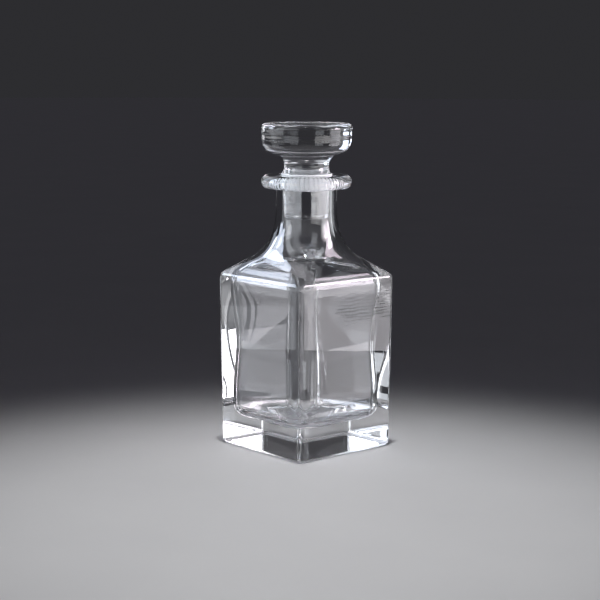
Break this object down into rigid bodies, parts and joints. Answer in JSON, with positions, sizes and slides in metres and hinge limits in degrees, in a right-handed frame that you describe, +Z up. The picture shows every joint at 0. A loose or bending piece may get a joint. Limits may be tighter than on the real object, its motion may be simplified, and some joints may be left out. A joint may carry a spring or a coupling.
{
  "type": "stoppered glass decanter",
  "caption": "Square clear glass decanter with a thick foot, sloping shoulders and a rounded lip, closed by a lift-out disc-headed glass stopper in a ribbed sealing sleeve.",
  "frame": {"origin": "centre of the foot, on the surface that the decanter stands on", "axes": "+Z up along the neck axis; the four flat sides face +X, -X, +Y and -Y"},
  "size_m": [0.07, 0.07, 0.18],
  "materials": {
    "bottle_glass": "clear, fire polished",
    "stopper_glass": "clear, fire polished",
    "seal_plastic": "milky translucent, satin"
  },
  "bodies": {
    "bottle": {"bottle": "bottle_glass"},
    "seal": {"seal": "seal_plastic"},
    "stopper": {"stopper": "stopper_glass"}
  },
  "joints": [
    {"name": "stopper_lift", "type": "slide", "parent": "bottle", "child": "seal", "axis": [0, 0, 1], "range_m": [0, 0.045]},
    {"name": "stopper_twist", "type": "hinge", "parent": "seal", "child": "stopper", "pos_m": [0, 0, 0.1525], "axis": [0, 0, 1], "continuous": true}
  ]
}
